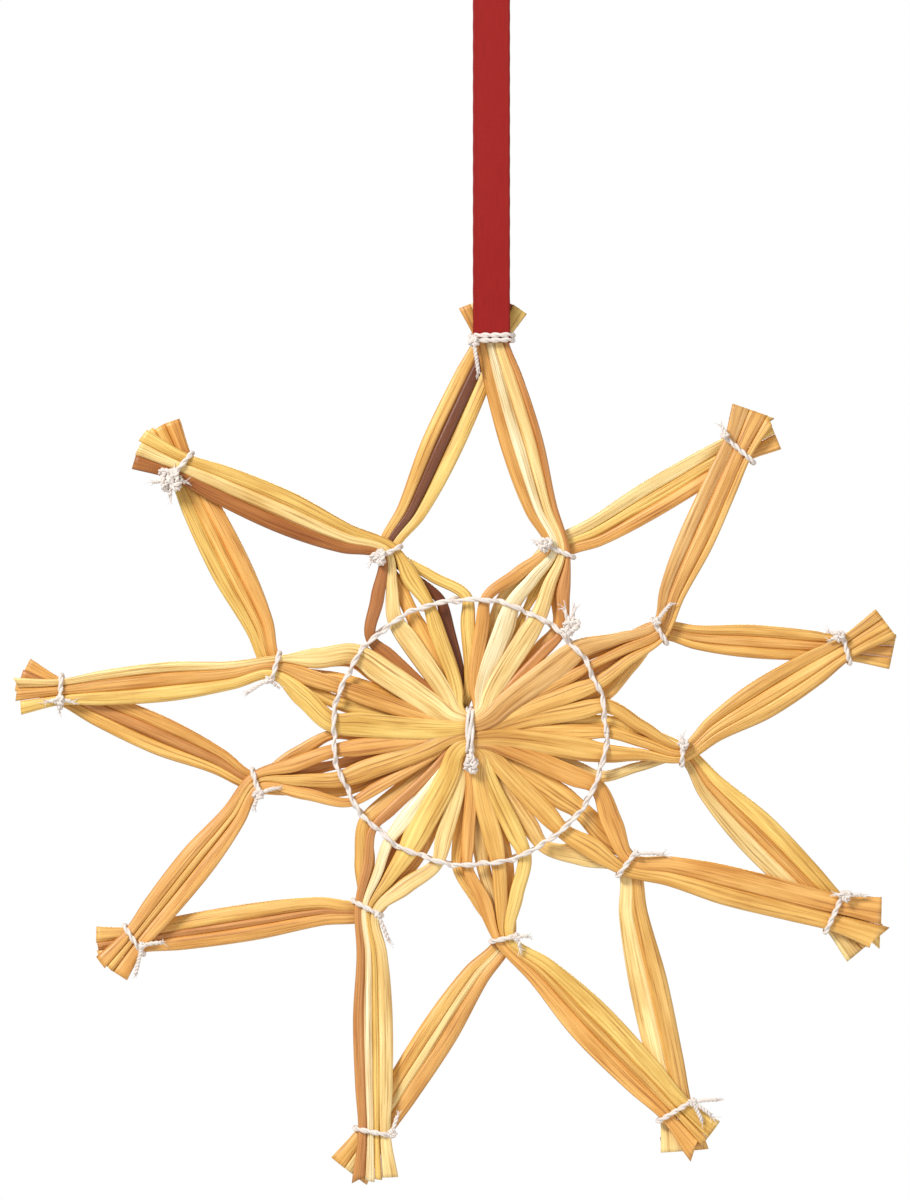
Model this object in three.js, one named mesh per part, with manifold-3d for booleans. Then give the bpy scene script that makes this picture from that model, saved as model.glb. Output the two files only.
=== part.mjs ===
// A nine-pointed star of flattened rye straws on a hanging ribbon.
//
// Millimetres, +Z up. The star's face looks along -Y and X runs to the right.
// The origin is the inside of the ribbon's top fold, where a hook or a twig carries the star.
//
// 27 whole straws lie side by side under a middle tie. Their 54 halves fan out through a thread
// ring, are gathered at nine inner ties, and split there: the front straws turn anticlockwise and
// the rear straws turn clockwise, so that each point is a front group laid over a rear group.

import * as THREE from 'three';
import { mergeVertices } from 'three/addons/utils/BufferGeometryUtils.js';
import Module from 'manifold-3d';

// Where the star hangs
const DROP = 124.6; // from the fold of the ribbon down to the star's centre
const OFFSET = 3.5; // the ribbon is tied on this far right of the centre

// Angles are in degrees, anticlockwise from +X as seen from the front. knot is where the knot
// sits on its tie: along the tie (negative is anticlockwise), outwards, and its radius.

// The nine points, clockwise from the top. tie and end are distances from the centre.
const POINTS = [
  { angle: 86.9, tie: 63.8, end: 70.9, width: 7.3, knot: [-2.8, -0.7, 1.2] },
  { angle: 46.7, tie: 63.2, end: 70.4, width: 7.4, knot: [-2.9, 0.2, 1.1] },
  { angle: 12.6, tie: 62.4, end: 70.8, width: 6.1, knot: [-2.2, -0.7, 1.2] },
  { angle: -26.3, tie: 65.9, end: 74.2, width: 8.1, knot: [-3.2, 0.3, 1.2] },
  { angle: -61.4, tie: 69.8, end: 77.2, width: 7.6, knot: [-3.0, 0.0, 1.1] },
  { angle: -103.4, tie: 66.6, end: 75.0, width: 7.3, knot: [-2.8, -0.5, 1.1] },
  { angle: -148.2, tie: 64.0, end: 70.6, width: 6.6, knot: [-1.4, -0.8, 1.1] },
  { angle: 174.4, tie: 66.6, end: 74.2, width: 6.2, knot: [-1.3, 0.0, 1.2] },
  { angle: 137.5, tie: 63.6, end: 71.7, width: 7.0, knot: [-2.7, -0.3, 2.2] },
];

// The nine inner ties, clockwise; the first lies between the last point and the first. arms are
// the widths, half way, of the front arm and of the rear arm. widths are the relative widths of a
// layer's straws under the tie, clockwise, and ring the angles at which they cross the ring.
const INNER = [
  { angle: 114.5, tie: 31.9, width: 5.7, arms: [7.0, 6.6], knot: [-1.7, 0.0, 1.6],
    front: { widths: [1, 1, 1], ring: [136, 123, 107.5] },
    rear: { widths: [1, 0.8, 1.1], ring: [115.5, 102, 91] } },
  { angle: 64.3, tie: 32.7, width: 6.5, arms: [6.9, 6.0], knot: [-2.3, 0.0, 1.5],
    front: { widths: [1, 1, 1, 0.6], ring: [83.5, 72, 60, 48] },
    rear: { widths: [1, 0.8, 1], ring: [77, 66, 51] } },
  { angle: 28.1, tie: 34.8, width: 5.4, arms: [5.8, 5.4], knot: [-1.6, 0.3, 1.1],
    front: { widths: [1.2, 1.2, 0.6], ring: [38, 29.5, 21.5] },
    rear: { widths: [1, 1, 1], ring: [34, 25.5, 15.5] } },
  { angle: -5.6, tie: 34.6, width: 5.0, arms: [6.5, 7.2], knot: [-1.4, 0.0, 1.2],
    front: { widths: [1, 1, 1], ring: [11.5, 0, -9] },
    rear: { widths: [1.1, 0.7, 1.1], ring: [4.5, -11, -19.5] } },
  { angle: -40.1, tie: 33.2, width: 5.8, arms: [6.4, 6.1], knot: [-2.3, 0.0, 0.9],
    front: { widths: [1.1, 1], ring: [-23.5, -47.5] },
    rear: { widths: [1, 1], ring: [-36, -58] } },
  { angle: -80.5, tie: 33.9, width: 5.4, arms: [7.5, 6.1], knot: [-2.0, 0.0, 1.0],
    front: { widths: [1.3, 0.6, 1.1], ring: [-66.5, -78, -91] },
    rear: { widths: [1.1, 0.7, 1.1], ring: [-74, -84.5, -95.5] } },
  { angle: -120.2, tie: 33.0, width: 6.3, arms: [6.4, 5.9], knot: [-2.0, 0.0, 0.9],
    front: { widths: [1.3, 0.6, 0.8, 1], ring: [-103.5, -117, -126, -134.5] },
    rear: { widths: [1.1, 0.6, 1.2], ring: [-111.5, -122, -139] } },
  { angle: 193.2, tie: 35.6, width: 5.4, arms: [5.9, 6.3], knot: [-1.9, 0.0, 1.2],
    front: { widths: [1.3, 0.6, 1.1], ring: [211.5, 200.5, 188] },
    rear: { widths: [1, 0.8, 1], ring: [206, 194, 181] } },
  { angle: 161.5, tie: 33.2, width: 5.8, arms: [6.4, 6.6], knot: [-2.3, 0.4, 1.0],
    front: { widths: [1.1, 1, 0.8], ring: [176, 160.5, 144.5] },
    rear: { widths: [1, 0.8, 1.1], ring: [167, 157, 148.5] } },
];

// Straws
const STRAW_WIDTH = 3.5; // a flattened straw where nothing squeezes it
const RING_WIDTH = 2.9; // a straw where the ring's thread crosses it
const ARM_SHAPED_AT = [0.2, 0.5, 0.8]; // shares of an arm's length, from its inner tie
const ARM_LEAN = 1.2; // above 1, an arm is fullest nearer its point than its inner tie
const PARTING = 0.6; // a tie's front and rear arms start this far to either side of its middle
const FULLNESS = 0.95; // share of its room that a straw takes up
const LAYER = 0.8; // the front and the rear straws lie this far off the star's middle plane
const PRESSED = 1.2; // thickness of a straw under a tie and in the disc
const ROUNDED = 1.9; // thickness half way along an arm
const BUNDLE_HEIGHT = 6.0; // the rows of straws under the middle tie, first to last
const BUNDLE_LAYER = 1.5; // layer offset under the middle tie, where straws stand on edge
const BUNDLE_DEPTH = 2.5; // how deep a straw on edge is
const UNDER_TIE = 0.95; // straws leave the middle tie level, this far to each side
const LEVEL_RUN = [1.1, 0.7]; // pull of the bend beside the tie: least, and more if a straw runs level
const FAN_LEAD = 0.6; // pull of the other end of that bend, as a share of FAN_START
const FAN_START = 7; // from here outwards the disc's straws run straight from the centre
const SPLAY = 0.95; // share of an arm's slant that its cut end keeps beyond the tie
const FLARE = 1.4; // how much wider the straws are at their cut ends than under the tie
const ARROW = 0.45; // slope of the two cuts that point a tip
const SIDES = 6; // faces round a straw

// Threads
const RING = { across: 44.2, up: 43.0, thread: 0.42, knotAngle: 46.2, knotOut: 24.7 };
const TIE_THREAD = 0.34; // half thickness of the thread round a tie
const TIE_BAND = 0.55; // half width of the turns of thread side by side
const GAP = 0.22; // air between a thread and the straws
const BEND_ROOM = 0.85; // more air at the ends of a tie, where straws bend away beside it

// Ribbon
const RIBBON = { width: 6, thickness: 0.4, spread: 2.6 };

const FRONT = -1;
const REAR = 1;
const DEPTH = new THREE.Vector3(0, -1, 0); // towards the viewer

const COLOURS = {
  straw: ['#eebb66', '#e8b45c', '#f2c878', '#deaa58'],
  thread: '#eee2d6',
  ribbon: '#a52a25',
};

// ---------------------------------------------------------------- small helpers

const radians = THREE.MathUtils.degToRad;

/** A point in the star's plane, from the star's centre. */
function polar(angle, radius) {
  return new THREE.Vector2(Math.cos(radians(angle)), Math.sin(radians(angle))).multiplyScalar(radius);
}

/** The outward and the sideways direction (clockwise) of a tie. */
function axesAt(angle) {
  const out = polar(angle, 1);
  return { out, side: new THREE.Vector2(out.y, -out.x) };
}

/** Lifts a point of the star's plane into space, y behind the middle plane. */
function inSpace(flat, y) {
  return new THREE.Vector3(flat.x - OFFSET, y, flat.y - DROP);
}

function mix(a, b, t) {
  return a.clone().lerp(b, t);
}

/** Shares of a group's width: where each straw's middle lies, -0.5 to 0.5, and how wide it is. */
function shareOut(widths) {
  const total = widths.reduce((sum, width) => sum + width, 0);
  let start = -0.5;
  return widths.map((width) => {
    const share = width / total;
    const place = start + share / 2;
    start += share;
    return { place, share };
  });
}

// ---------------------------------------------------------------- straws

/**
 * Every half straw of one layer, clockwise from the second inner tie, each with the tie that
 * gathers it, the point that it runs to and where it crosses the ring.
 */
function halvesOf(layer) {
  const halves = [];
  for (let i = 0; i < INNER.length; i += 1) {
    const index = (i + 1) % INNER.length;
    const inner = INNER[index];
    const point = POINTS[layer === FRONT ? (index + POINTS.length - 1) % POINTS.length : index];
    const { widths, ring } = layer === FRONT ? inner.front : inner.rear;
    const armWidth = inner.arms[layer === FRONT ? 0 : 1];
    shareOut(widths).forEach(({ place, share }, k) => {
      halves.push({ layer, inner, point, armWidth, place, share, ringAngle: ring[k] });
    });
  }
  return halves;
}

/** Room for a straw between its two neighbours of the same layer, at one place. */
function roomAt(place, neighbours) {
  let nearest = Infinity;
  for (const stations of neighbours) {
    for (let i = 1; i < stations.length; i += 1) {
      const a = stations[i - 1].place;
      const b = stations[i].place;
      const along = b.clone().sub(a);
      const t = place.clone().sub(a).dot(along) / along.lengthSq();
      nearest = Math.min(nearest, mix(a, b, Math.min(Math.max(t, 0), 1)).distanceTo(place));
    }
  }
  return nearest;
}

/**
 * The stations of a half straw, from beside the middle tie out to the cut end. hand is 1 for the
 * right half and -1 for the left one, row is its height under the middle tie and pitch the height
 * that it has there.
 */
function routeOf(half, row, pitch, hand) {
  const { inner, point, armWidth, place, share, layer, ringAngle } = half;
  const stations = [];
  const ray = polar(ringAngle, 1);
  const add = (at, more) => stations.push({ place: at, y: LAYER * layer, thick: PRESSED, ...more });

  const start = new THREE.Vector2(hand * UNDER_TIE, row);
  const pull = LEVEL_RUN[0] + LEVEL_RUN[1] * Math.abs(ray.x);
  const leave = new THREE.Vector2(hand * (UNDER_TIE + pull), row);
  add(start, {
    along: new THREE.Vector2(hand, 0),
    width: pitch * FULLNESS,
    y: BUNDLE_LAYER * layer,
    thick: BUNDLE_DEPTH,
  });
  const fanned = ray.clone().multiplyScalar(FAN_START);
  const fan = new THREE.CubicBezierCurve(
    start, leave, fanned.clone().multiplyScalar(FAN_LEAD), fanned);
  add(fan.getPoint(0.5), {
    fanned: true,
    y: (layer * (LAYER + BUNDLE_LAYER)) / 2,
    thick: (PRESSED + BUNDLE_DEPTH) / 2,
  });
  add(fan.getPoint(1), { fanned: true });
  const onRing = new THREE.Vector2((ray.x * RING.across) / 2, (ray.y * RING.up) / 2);
  add(onRing, { fanned: true, widest: RING_WIDTH });

  const gather = axesAt(inner.angle);
  const tied = inner.width - 2 * (2 * TIE_THREAD + BEND_ROOM);
  const atInner = polar(inner.angle, inner.tie).addScaledVector(gather.side, place * tied);
  add(mix(onRing, atInner, 0.5), { fanned: true });
  add(atInner, { along: gather.out, width: share * tied * FULLNESS });

  const top = axesAt(point.angle);
  const tipWidth = point.width - 2 * (2 * TIE_THREAD + GAP);
  const atTip = polar(point.angle, point.tie);
  const armStart = polar(inner.angle, inner.tie);
  const arm = atTip.clone().sub(armStart);
  const armSide = new THREE.Vector2(arm.y, -arm.x).normalize();
  for (const t of ARM_SHAPED_AT) {
    const neck = THREE.MathUtils.lerp(tied, tipWidth, t);
    const swell = Math.sin(Math.PI * t ** ARM_LEAN);
    const across = THREE.MathUtils.lerp(neck, armWidth, swell);
    const middle = armStart.clone().addScaledVector(arm, t);
    const parted = layer * PARTING * (1 - t);
    add(middle.addScaledVector(armSide, place * across + parted), {
      width: share * across * FULLNESS,
      thick: THREE.MathUtils.lerp(PRESSED, ROUNDED, t === 0.5 ? 1 : 0.25),
    });
  }
  const underTie = atTip.clone().addScaledVector(top.side, place * tipWidth);
  add(underTie, { along: top.out, width: share * tipWidth * FULLNESS });

  // The tip is cut to an arrow: the cut falls back on both sides of the point's middle line.
  const own = arm.clone().normalize();
  const past = mix(top.out, own, SPLAY).normalize();
  const flared = polar(point.angle, point.tie).addScaledVector(top.side, place * tipWidth * FLARE);
  const ahead = past.dot(top.out);
  const aside = past.dot(top.side);
  const far = flared.dot(top.side) + (point.end - point.tie) * aside;
  const slope = ARROW * Math.sign(far || 1);
  const reach = (point.end - point.tie - slope * flared.dot(top.side)) / (ahead + slope * aside);
  add(flared.addScaledVector(past, reach), {
    along: past,
    skew: (aside - slope * ahead) / (ahead + slope * aside),
    width: share * tipWidth * FLARE * FULLNESS,
  });
  return stations;
}

/** All straws of one layer, as lists of stations from left end to right end. */
function strawsOf(layer) {
  const halves = halvesOf(layer);
  const count = halves.length / 2;
  const pitch = BUNDLE_HEIGHT / (count - 1);
  const rowOf = (i) => BUNDLE_HEIGHT / 2 - pitch * Math.min(i, halves.length - 1 - i);
  const routes = halves.map((half, i) => routeOf(half, rowOf(i), pitch, i < count ? 1 : -1));
  routes.forEach((stations, i) => {
    const neighbours = [
      routes[(i + routes.length - 1) % routes.length],
      routes[(i + 1) % routes.length],
    ];
    for (const station of stations.filter((one) => one.fanned)) {
      const room = roomAt(station.place, neighbours) * FULLNESS;
      station.width = Math.min(station.widest ?? STRAW_WIDTH, room);
    }
  });
  return routes.slice(0, count).map((right, i) => {
    const left = routes[routes.length - 1 - i];
    const inwards = left.map((station) => ({
      ...station,
      along: station.along?.clone().negate(),
    })).reverse();
    return [...inwards, ...right];
  });
}

/** A closed solid along the stations: a cylinder whose rings are moved onto them. */
function strawGeometry(stations) {
  const last = stations.length - 1;
  const frames = stations.map((station, i) => {
    const before = stations[Math.max(i - 1, 0)].place;
    const after = stations[Math.min(i + 1, last)].place;
    const into = station.place.clone().sub(before).normalize();
    const away = after.clone().sub(station.place).normalize();
    const along = station.along ?? into.add(away).normalize();
    const tangent = new THREE.Vector3(along.x, 0, along.y);
    const side = new THREE.Vector3().crossVectors(tangent, DEPTH);
    return {
      centre: inSpace(station.place, station.y),
      side: side.addScaledVector(tangent, station.skew ?? 0).multiplyScalar(station.width / 2),
      depth: DEPTH.clone().multiplyScalar(station.thick / 2 / Math.cos(Math.PI / SIDES)),
    };
  });
  const geometry = new THREE.CylinderGeometry(1, 1, 1, SIDES, last, false, Math.PI / 2);
  const position = geometry.attributes.position;
  const vertex = new THREE.Vector3();
  for (let i = 0; i < position.count; i += 1) {
    vertex.fromBufferAttribute(position, i);
    const { centre, side, depth } = frames[Math.round((vertex.y + 0.5) * last)];
    const moved = centre.clone().addScaledVector(side, vertex.x).addScaledVector(depth, vertex.z);
    position.setXYZ(i, moved.x, moved.y, moved.z);
  }
  return geometry;
}

// ---------------------------------------------------------------- threads

const manifold = await Module();
manifold.setup();

function toSolid(geometry) {
  const plain = geometry.clone();
  plain.deleteAttribute('normal');
  plain.deleteAttribute('uv');
  const merged = mergeVertices(plain, 1e-4);
  return new manifold.Manifold(new manifold.Mesh({
    numProp: 3,
    vertProperties: new Float32Array(merged.attributes.position.array),
    triVerts: new Uint32Array(merged.index.array),
  }));
}

function toGeometry(solid) {
  const mesh = solid.getMesh();
  const geometry = new THREE.BufferGeometry();
  geometry.setAttribute('position', new THREE.BufferAttribute(mesh.vertProperties, 3));
  geometry.setIndex(new THREE.BufferAttribute(mesh.triVerts, 1));
  geometry.computeVertexNormals();
  return geometry;
}

function joined(geometries) {
  return toGeometry(geometries.map(toSolid).reduce((whole, piece) => whole.add(piece)));
}

/**
 * A flat loop of thread in the XY plane round a bundle of half width a and half depth b: a torus
 * whose circle is moved onto a rounded rectangle. Its turns lie side by side along Z.
 */
function loopGeometry(a, b, thread, band, steps) {
  const geometry = new THREE.TorusGeometry(2, 1, 4, steps);
  const position = geometry.attributes.position;
  const squared = (value) => Math.sign(value) * Math.sqrt(Math.abs(value));
  for (let i = 0; i < position.count; i += 1) {
    const x = position.getX(i);
    const y = position.getY(i);
    const turn = Math.atan2(y, x);
    const proud = (Math.hypot(x, y) - 2) * thread;
    const outX = Math.cos(turn);
    const outY = Math.sin(turn);
    position.setXYZ(
      i, a * squared(outX) + proud * outX, b * squared(outY) + proud * outY, position.getZ(i) * band);
  }
  return geometry;
}

/** A round lump of thread with its middle at the given place. */
function lumpGeometry(x, y, z, across, deep, tall) {
  return new THREE.IcosahedronGeometry(1, 0).scale(across, deep, tall).translate(x, y, z);
}

/** A tie in its own axes: X along the tie, -Y towards the viewer, Z outwards. */
function tieGeometry(width, halfDepth, [along, out, size]) {
  const front = halfDepth + GAP;
  const loop = loopGeometry(
    width / 2 - TIE_THREAD, front + TIE_THREAD, TIE_THREAD, TIE_BAND, 8);
  const deep = 0.6 * size;
  return joined([loop, lumpGeometry(along, -front - 0.05 - deep, out, size, deep, size)]);
}

function placeTie(mesh, angle, radius) {
  const { out, side } = axesAt(angle);
  mesh.position.copy(inSpace(polar(angle, radius), 0));
  mesh.quaternion.setFromRotationMatrix(new THREE.Matrix4().makeBasis(
    new THREE.Vector3(side.x, 0, side.y), new THREE.Vector3(0, 1, 0), new THREE.Vector3(out.x, 0, out.y)));
}

/** The middle tie: an upright loop round the whole bundle, with its knot hanging in front. */
function middleTieGeometry() {
  const halfDepth = BUNDLE_LAYER + BUNDLE_DEPTH / 2 + GAP + TIE_THREAD;
  const halfHeight = BUNDLE_HEIGHT / 2 + BEND_ROOM + GAP + TIE_THREAD;
  const loop = loopGeometry(halfHeight, halfDepth, TIE_THREAD, TIE_BAND, 12);
  const upright = new THREE.Matrix4().makeBasis(
    new THREE.Vector3(0, 0, 1), new THREE.Vector3(0, 1, 0), new THREE.Vector3(-1, 0, 0));
  return joined([
    loop.applyMatrix4(upright),
    lumpGeometry(0, -halfDepth - 0.1, -4.4, 1.15, 0.8, 2.4),
  ]);
}

/** The ring: one turn before the disc and one behind it, meeting in a knot between two straws. */
function ringGeometry() {
  const face = LAYER + PRESSED / 2 + GAP + RING.thread;
  const pieces = [-face, face].map((y) => {
    const turn = new THREE.TorusGeometry(1, RING.thread, 4, 30);
    const position = turn.attributes.position;
    for (let i = 0; i < position.count; i += 1) {
      const proud = Math.hypot(position.getX(i), position.getY(i)) - 1;
      const angle = Math.atan2(position.getY(i), position.getX(i));
      const x = Math.cos(angle) * (RING.across / 2 + proud);
      const z = Math.sin(angle) * (RING.up / 2 + proud);
      position.setXYZ(i, x, y - position.getZ(i), z);
    }
    return turn;
  });
  const inner = polar(RING.knotAngle, (RING.across + RING.up) / 4);
  const outer = polar(RING.knotAngle, RING.knotOut);
  const link = new THREE.CatmullRomCurve3([
    new THREE.Vector3(inner.x, -face, inner.y),
    new THREE.Vector3(outer.x, -face, outer.y),
    new THREE.Vector3(outer.x, face, outer.y),
    new THREE.Vector3(inner.x, face, inner.y),
  ], false, 'centripetal');
  const section = new THREE.Shape();
  section.absarc(0, 0, RING.thread, 0, 2 * Math.PI);
  pieces.push(new THREE.ExtrudeGeometry(section, { steps: 9, curveSegments: 3, extrudePath: link }));
  const knot = polar(RING.knotAngle, RING.knotOut - 1.2);
  pieces.push(lumpGeometry(knot.x, -face - 0.15, knot.y, 1.5, 0.75, 1.7));
  return joined(pieces);
}

// ---------------------------------------------------------------- ribbon

/** A flat ribbon folded over at the top, its two ends held before and behind the top point. */
function ribbonGeometry() {
  const { width, thickness, spread } = RIBBON;
  const tied = LAYER + PRESSED / 2 + GAP;
  const bottom = polar(POINTS[0].angle, POINTS[0].tie).y - DROP + TIE_BAND + GAP;
  const shape = new THREE.Shape();
  shape.moveTo(-tied - thickness, bottom);
  shape.bezierCurveTo(
    -tied - thickness, bottom + 8, -spread - thickness, bottom + 8, -spread - thickness, bottom + 20);
  shape.lineTo(-spread - thickness, -spread);
  shape.absarc(0, -spread, spread + thickness, Math.PI, 0, true);
  shape.lineTo(spread + thickness, bottom + 20);
  shape.bezierCurveTo(
    spread + thickness, bottom + 8, tied + thickness, bottom + 8, tied + thickness, bottom);
  shape.lineTo(tied, bottom);
  shape.bezierCurveTo(tied, bottom + 8, spread, bottom + 8, spread, bottom + 20);
  shape.lineTo(spread, -spread);
  shape.absarc(0, -spread, spread, 0, Math.PI, false);
  shape.lineTo(-spread, bottom + 20);
  shape.bezierCurveTo(-spread, bottom + 8, -tied, bottom + 8, -tied, bottom);
  shape.closePath();
  const geometry = new THREE.ExtrudeGeometry(shape, {
    depth: width, bevelEnabled: false, curveSegments: 6,
  });
  geometry.translate(0, 0, -width / 2);
  return geometry.applyMatrix4(new THREE.Matrix4().makeBasis(
    new THREE.Vector3(0, 1, 0), new THREE.Vector3(0, 0, 1), new THREE.Vector3(1, 0, 0)));
}

// ---------------------------------------------------------------- the star

const star = new THREE.Group();
star.name = 'straw_star';

function addMesh(name, geometry, color, roughness) {
  const material = new THREE.MeshStandardMaterial({ color, roughness, metalness: 0 });
  const mesh = new THREE.Mesh(geometry, material);
  mesh.name = name;
  star.add(mesh);
  return mesh;
}

[...strawsOf(FRONT), ...strawsOf(REAR)].forEach((stations, i) => {
  const name = `straw_${String(i + 1).padStart(2, '0')}`;
  addMesh(name, strawGeometry(stations), COLOURS.straw[i % COLOURS.straw.length], 0.45);
});

addMesh('middle_tie', middleTieGeometry(), COLOURS.thread, 0.9).position.copy(
  inSpace(new THREE.Vector2(), 0));
addMesh('ring_thread', ringGeometry(), COLOURS.thread, 0.9).position.copy(
  inSpace(new THREE.Vector2(), 0));

const strawDepth = LAYER + PRESSED / 2;
INNER.forEach(({ angle, tie, width, knot }, i) => {
  const mesh = addMesh(`inner_tie_${i + 1}`, tieGeometry(width, strawDepth, knot), COLOURS.thread, 0.9);
  placeTie(mesh, angle, tie);
});
POINTS.forEach(({ angle, tie, width, knot }, i) => {
  const mesh = addMesh(`tip_tie_${i + 1}`, tieGeometry(width, strawDepth, knot), COLOURS.thread, 0.9);
  placeTie(mesh, angle, tie);
});

addMesh('ribbon', ribbonGeometry(), COLOURS.ribbon, 0.5);

export default star;
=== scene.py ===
"""A nine-pointed star of flattened rye straws on a red ribbon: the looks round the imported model.

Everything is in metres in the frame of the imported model: +Z up, the star's face along -Y, X to
the right, the origin inside the ribbon's top fold. Sizes written in millimetres are multiplied
by MM where they are used.
"""
import math
import random

import bmesh
import bpy
import numpy as np
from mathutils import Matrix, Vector


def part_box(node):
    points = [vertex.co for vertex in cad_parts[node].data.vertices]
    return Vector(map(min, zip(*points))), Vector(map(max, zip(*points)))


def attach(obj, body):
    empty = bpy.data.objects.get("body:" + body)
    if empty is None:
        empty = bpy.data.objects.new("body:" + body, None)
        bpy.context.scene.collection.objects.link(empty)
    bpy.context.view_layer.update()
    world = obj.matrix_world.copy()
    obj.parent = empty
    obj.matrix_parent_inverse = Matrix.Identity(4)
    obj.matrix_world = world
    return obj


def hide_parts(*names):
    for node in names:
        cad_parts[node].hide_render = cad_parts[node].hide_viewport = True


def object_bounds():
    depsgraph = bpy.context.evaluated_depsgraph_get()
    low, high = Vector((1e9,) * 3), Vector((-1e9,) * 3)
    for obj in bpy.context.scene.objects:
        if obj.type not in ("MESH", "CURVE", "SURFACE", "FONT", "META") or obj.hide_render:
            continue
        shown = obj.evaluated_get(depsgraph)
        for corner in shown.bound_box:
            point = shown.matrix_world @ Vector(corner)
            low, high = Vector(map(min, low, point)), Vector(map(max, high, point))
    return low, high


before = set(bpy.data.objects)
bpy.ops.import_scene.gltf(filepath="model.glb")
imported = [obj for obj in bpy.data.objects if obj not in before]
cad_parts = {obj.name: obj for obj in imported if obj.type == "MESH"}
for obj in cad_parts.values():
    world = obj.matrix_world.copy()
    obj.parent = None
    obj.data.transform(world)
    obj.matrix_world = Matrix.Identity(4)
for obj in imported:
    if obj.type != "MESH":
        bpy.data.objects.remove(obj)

MM = 0.001
CAD_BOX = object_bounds()
TOWARDS_VIEWER = np.array([0.0, -1.0, 0.0])

# ---------------------------------------------------------------- sizes, in millimetres, and counts

THREAD = 0.42          # radius of the ring's thread
TIE_THREAD = 0.42      # radius of the thread round a tie
TAIL_THREAD = 0.34     # radius of a tie's loose ends
RING_TAIL = 0.36       # radius of the ring's loose ends
THREAD_STEP = 0.16     # spacing of the rings along a thread
ROUND_STEPS = 72       # points round a tie
KNOT_FRONT = 2.35      # how far in front of the star's middle plane a knot sits
TOP_KNOT_FRONT = 2.9   # the same at the top tip, over the ribbon
STRAW_SIDES = 24       # faces round a straw
STRAW_STEP = 0.75      # spacing of the rings along a straw
WALL = 0.2             # wall of a straw, seen at its cut end
HOLLOW = 2.5           # how deep a cut end is open
FIBRES_ACROSS = 3.5    # grain space across any straw, so that fibres close up under a tie
TIE_ROOM = 0.6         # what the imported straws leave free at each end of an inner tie
RIBBON_WIDTH = 6.0
RIBBON_THICKNESS = 0.32
RIBBON_TUCK = 1.4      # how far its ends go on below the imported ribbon, under the tie

# A half straw's stations, from the middle tie outwards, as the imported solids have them.
BUNDLE, BEND, FAN, RING, FUNNEL, INNER, ARM_A, ARM_B, ARM_C, TIP, CUT = range(11)

# ---------------------------------------------------------------- colours


def linear(red, green, blue):
    """An sRGB colour, 0 to 255, as linear values."""
    def one(value):
        value /= 255
        return value / 12.92 if value <= 0.04045 else ((value + 0.055) / 1.055) ** 2.4
    return (one(red), one(green), one(blue))


GOLD = linear(234, 183, 98)
YELLOW = linear(240, 200, 110)
PALE = linear(245, 213, 142)
CREAM = linear(250, 232, 184)
OCHRE = linear(226, 176, 106)
AMBER = linear(230, 172, 92)
RUSSET = linear(208, 145, 80)
BROWN = linear(170, 106, 50)
UMBER = linear(116, 60, 24)

# The half straws, clockwise round each inner tie: colour, how far it lies over its neighbours in
# the disc (0 to 1), and its width there in millimetres.
STALKS = {
    ("front", 1): [(BROWN, 0.10, 2.4), (PALE, 0.70, 3.3), (YELLOW, 0.50, 2.6)],
    ("rear", 1): [(GOLD, 0.60, 3.0), (UMBER, 0.20, 2.3), (YELLOW, 0.65, 2.4)],
    ("front", 2): [(AMBER, 0.35, 2.3), (CREAM, 0.50, 3.4), (PALE, 0.75, 3.5), (RUSSET, 0.10, 1.8)],
    ("rear", 2): [(PALE, 0.00, 2.6), (YELLOW, 0.30, 1.5), (AMBER, 0.10, 2.0)],
    ("front", 3): [(OCHRE, 1.00, 4.2), (AMBER, 0.00, 2.0), (GOLD, 0.50, 2.9)],
    ("rear", 3): [(GOLD, 0.00, 2.4), (AMBER, 0.30, 2.6), (GOLD, 0.40, 3.0)],
    ("front", 4): [(GOLD, 0.55, 3.0), (GOLD, 0.20, 2.6), (GOLD, 1.00, 3.8)],
    ("rear", 4): [(YELLOW, 0.40, 2.8), (AMBER, 0.00, 2.4), (PALE, 0.05, 2.6)],
    ("front", 5): [(AMBER, 0.75, 3.3), (GOLD, 0.35, 3.4)],
    ("rear", 5): [(GOLD, 0.60, 4.0), (PALE, 0.30, 2.9)],
    ("front", 6): [(YELLOW, 0.30, 3.0), (GOLD, 0.45, 3.2), (AMBER, 0.10, 2.2)],
    ("rear", 6): [(AMBER, 0.20, 2.4), (PALE, 0.25, 3.0), (GOLD, 0.20, 2.2)],
    ("front", 7): [(PALE, 0.10, 2.8), (YELLOW, 0.85, 4.2), (CREAM, 0.10, 2.4), (RUSSET, 0.10, 1.8)],
    ("rear", 7): [(AMBER, 0.10, 2.4), (RUSSET, 0.00, 2.2), (GOLD, 0.50, 2.9)],
    ("front", 8): [(AMBER, 0.10, 2.0), (GOLD, 0.80, 3.4), (AMBER, 0.40, 2.9)],
    ("rear", 8): [(GOLD, 0.00, 2.4), (RUSSET, 0.10, 2.2), (AMBER, 0.20, 2.2)],
    ("front", 9): [(YELLOW, 1.00, 4.0), (AMBER, 0.40, 3.0), (PALE, 1.00, 4.2)],
    ("rear", 9): [(YELLOW, 0.50, 3.0), (GOLD, 0.30, 2.8), (AMBER, 0.00, 2.4)],
}


# ---------------------------------------------------------------- curves


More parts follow.
